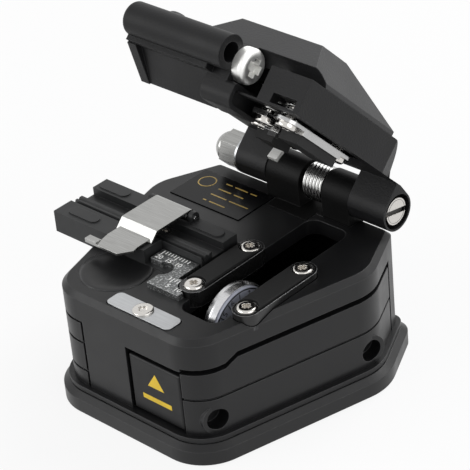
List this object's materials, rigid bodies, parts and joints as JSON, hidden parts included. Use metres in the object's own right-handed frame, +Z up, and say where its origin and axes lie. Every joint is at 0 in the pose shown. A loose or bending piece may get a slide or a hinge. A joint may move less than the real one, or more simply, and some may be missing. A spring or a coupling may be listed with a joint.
{
  "type": "fibre cleaver",
  "caption": "Desktop optical fibre cleaver with a hinged clamp arm, sliding blade wheel, fibre holder with a clip lid and a faceted flanged body.",
  "frame": {"origin": "centre of the rubber foot's underside, midway between the flange's front and back edges", "axes": "+X along the fibre and the hinge towards the blade side, -Y the push button's side, +Z up"},
  "size_m": [0.0653, 0.0596, 0.0766],
  "materials": {
    "black_paint": "satin black paint on die-cast metal, slightly orange-peeled",
    "cast_black": "fine textured dark grey-black paint on a casting",
    "grey_anodised": "matte dark grey anodised",
    "brushed_aluminium": "brushed along its length",
    "spring_steel": "bright rolled sheet",
    "etched_steel": "matt, with etched marks",
    "ground_steel": "ground",
    "nickel_steel": "nickel plated",
    "zinc_steel": "zinc plated",
    "spring_wire": "drawn wire",
    "carbide": "fine ground and polished",
    "dial_grey": "matt blue-grey enamel with black numbers",
    "rubber": "matt",
    "push_plastic": "fine matt",
    "label_black": "gloss",
    "ceramic_dark": "hard and smooth"
  },
  "bodies": {
    "base": {"rubber_mat": "rubber", "base_plate": "black_paint", "base_screws": "zinc_steel", "main_housing": "black_paint", "side_cover": "black_paint", "insert_plate": "brushed_aluminium", "insert_screw": "nickel_steel", "label_plate": "label_black", "lower_clamp_left": "ground_steel", "lower_pad_left": "rubber", "lower_clamp_right": "ground_steel", "lower_pad_right": "rubber", "lower_clamp_screws": "nickel_steel", "fibre_holder": "grey_anodised", "holder_screws": "nickel_steel", "clip_pin": "ground_steel", "scale_plate": "etched_steel", "guide_rail": "ground_steel", "rail_screws": "zinc_steel", "hinge_bracket": "black_paint", "hinge_screws": "zinc_steel", "stop_tab": "nickel_steel", "torsion_spring": "spring_wire"},
    "slider": {"rail_carriage": "ground_steel", "slider_block": "grey_anodised", "push_plate": "push_plastic", "wheel_bracket": "grey_anodised", "wheel_axle": "nickel_steel"},
    "wheel": {"blade_wheel": "carbide", "number_dial": "dial_grey"},
    "clip": {"clip_lid": "spring_steel"},
    "arm": {"hinge_bolt": "nickel_steel", "hinge_washer": "zinc_steel", "hinge_nut": "nickel_steel", "arm_frame": "cast_black", "arm_cap": "black_paint", "handle": "cast_black", "handle_screw": "nickel_steel", "top_screw": "black_paint", "upper_clamp_screws": "nickel_steel", "clamp_springs": "spring_wire", "anvil_pin": "ground_steel", "anvil_screw": "nickel_steel", "anvil_spring": "spring_wire"},
    "anvil": {"anvil_lever": "ground_steel", "anvil_press": "ceramic_dark"},
    "upper_clamp_left": {"upper_clamp_left": "ground_steel", "upper_pad_left": "rubber"},
    "upper_clamp_right": {"upper_clamp_right": "ground_steel", "upper_pad_right": "rubber"}
  },
  "joints": [
    {"name": "arm_hinge", "type": "hinge", "parent": "base", "child": "arm", "pos_m": [0, 0.0264, 0.032], "axis": [1, 0, 0], "range_deg": [0, 48.5], "stiffness_Nm_per_rad": 0.05, "springref_deg": -45.84, "deforming": ["torsion_spring"]},
    {"name": "slider_push", "type": "slide", "parent": "base", "child": "slider", "axis": [0, 1, 0], "range_m": [0, 0.02]},
    {"name": "blade_wheel_turn", "type": "hinge", "parent": "slider", "child": "wheel", "pos_m": [0.0113, -0.0084, 0.0203], "axis": [1, 0, 0], "continuous": true},
    {"name": "clip_hinge", "type": "hinge", "parent": "base", "child": "clip", "pos_m": [-0.01375, 0.0029, 0.031], "axis": [1, 0, 0], "range_deg": [-95, 0]},
    {"name": "anvil_float", "type": "hinge", "parent": "arm", "child": "anvil", "pos_m": [0.01255, 0.01958, 0.04626], "axis": [1, 0, 0], "range_deg": [-4, 0], "stiffness_Nm_per_rad": 0.02, "springref_deg": 5.73, "deforming": ["anvil_spring"]},
    {"name": "upper_clamp_left_float", "type": "slide", "parent": "arm", "child": "upper_clamp_left", "axis": [0, 0.7193, 0.6947], "range_m": [0, 0.0006], "stiffness_N_per_m": 300, "springref_m": -0.0015, "deforming": ["clamp_springs"]},
    {"name": "upper_clamp_right_float", "type": "slide", "parent": "arm", "child": "upper_clamp_right", "axis": [0, 0.7193, 0.6947], "range_m": [0, 0.0006], "stiffness_N_per_m": 300, "springref_m": -0.0015, "deforming": ["clamp_springs"]}
  ]
}
